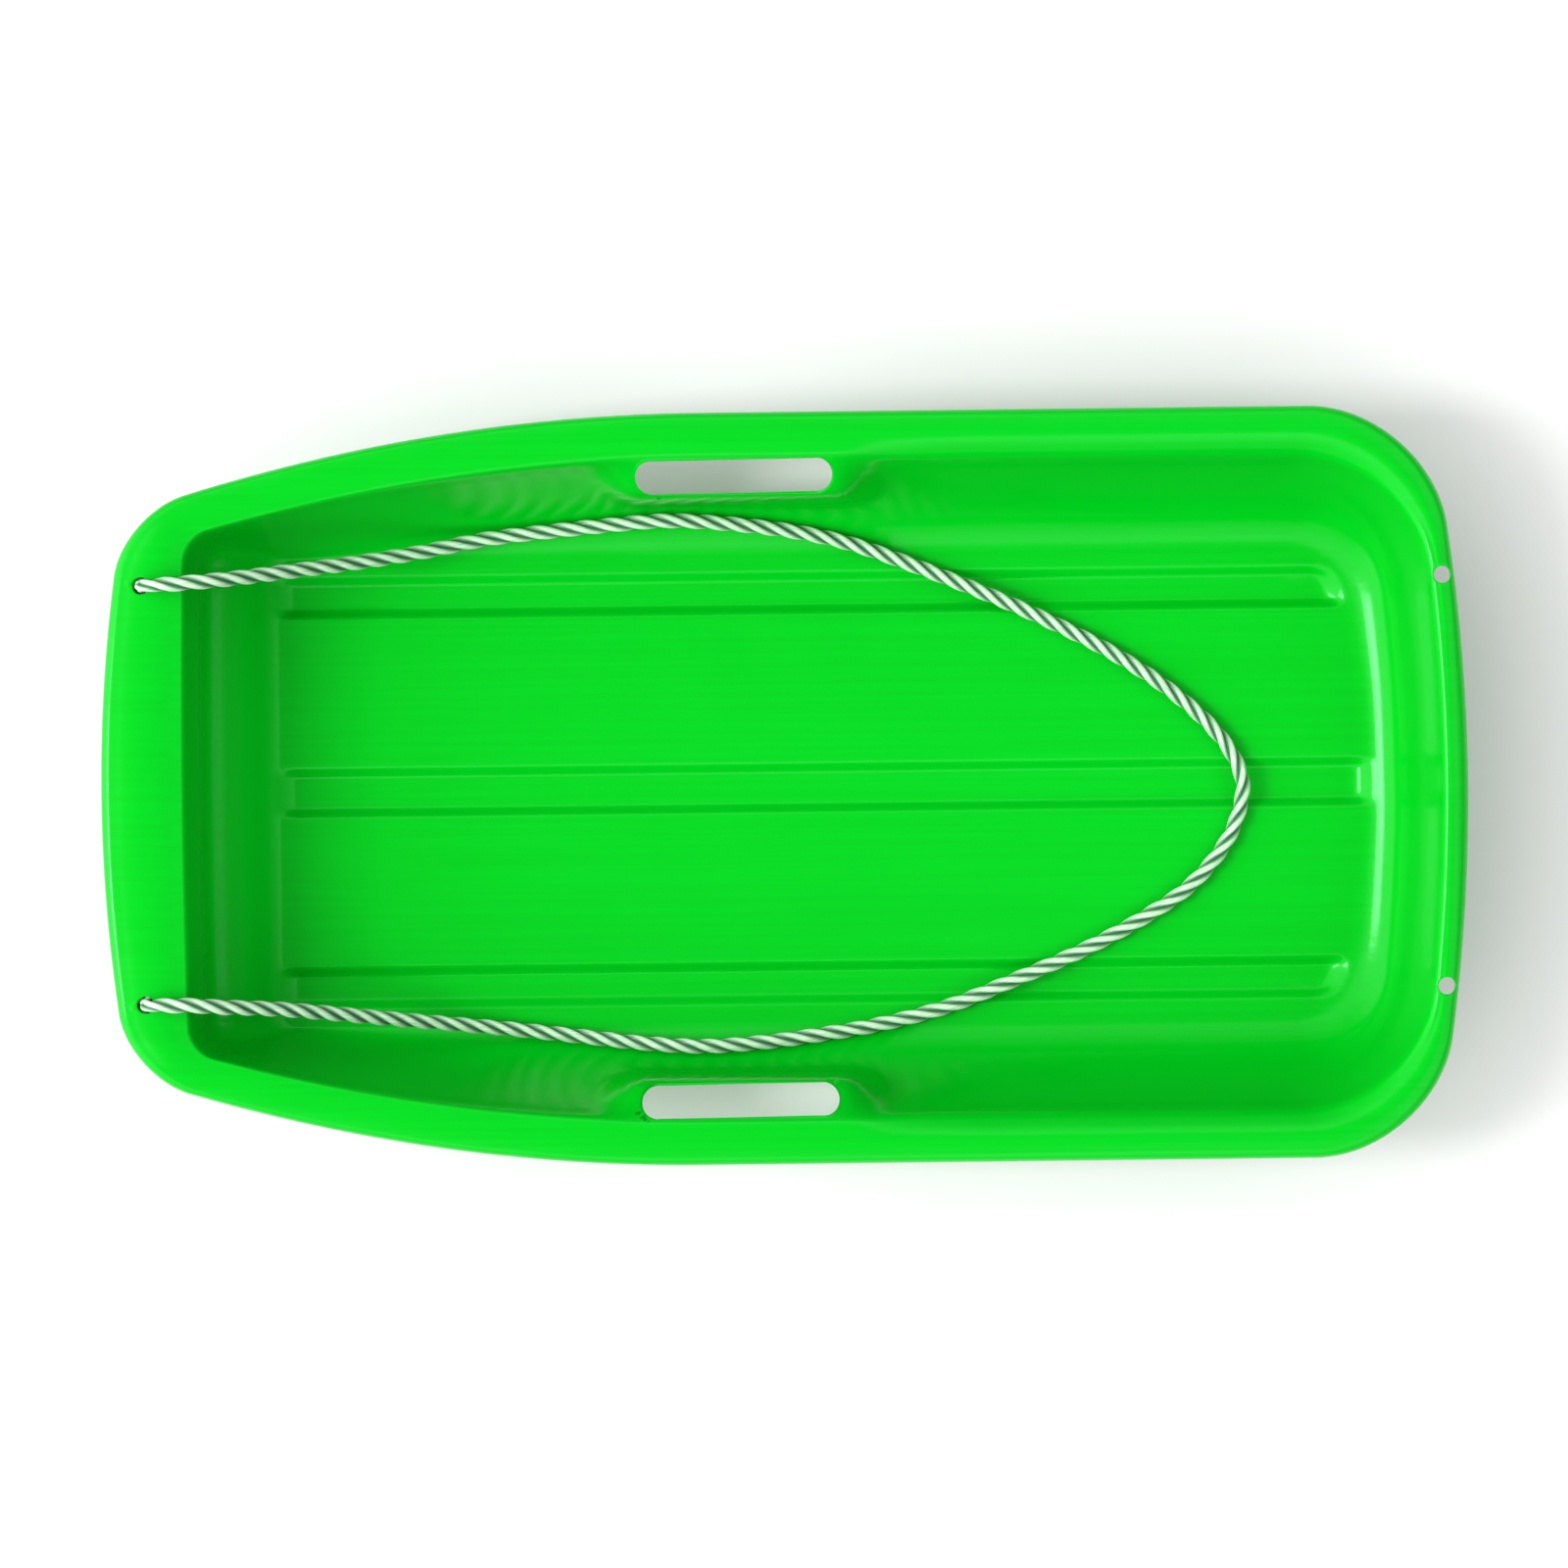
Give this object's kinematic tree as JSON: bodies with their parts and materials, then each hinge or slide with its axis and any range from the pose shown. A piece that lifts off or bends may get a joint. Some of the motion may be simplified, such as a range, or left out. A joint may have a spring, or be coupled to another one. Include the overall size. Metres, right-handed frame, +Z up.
{
  "type": "sled",
  "caption": "Shallow moulded toboggan tub with a rolled rim, side hand slots, runners pressed into its floor, and a rope tow loop knotted through the nose.",
  "frame": {"origin": "on the ground under the middle of the moulding's length and width", "axes": "+X towards the nose, where the tow rope is tied; +Y to the rider's left; +Z up"},
  "size_m": [0.8378, 0.4616, 0.128],
  "materials": {
    "sled_body": "injection moulded polyethylene, semi-gloss",
    "rope": "three-strand twisted polypropylene rope"
  },
  "bodies": {
    "sled": {"sled_body": "sled_body", "rope_end_left": "rope", "rope_end_right": "rope"},
    "tow_loop": {"tow_rope": "rope"}
  },
  "joints": [
    {"name": "tow_rope_swing", "type": "hinge", "parent": "sled", "child": "tow_loop", "pos_m": [0.3926, 0, 0.1234], "axis": [0, 1, 0], "range_deg": [0, 170]}
  ]
}
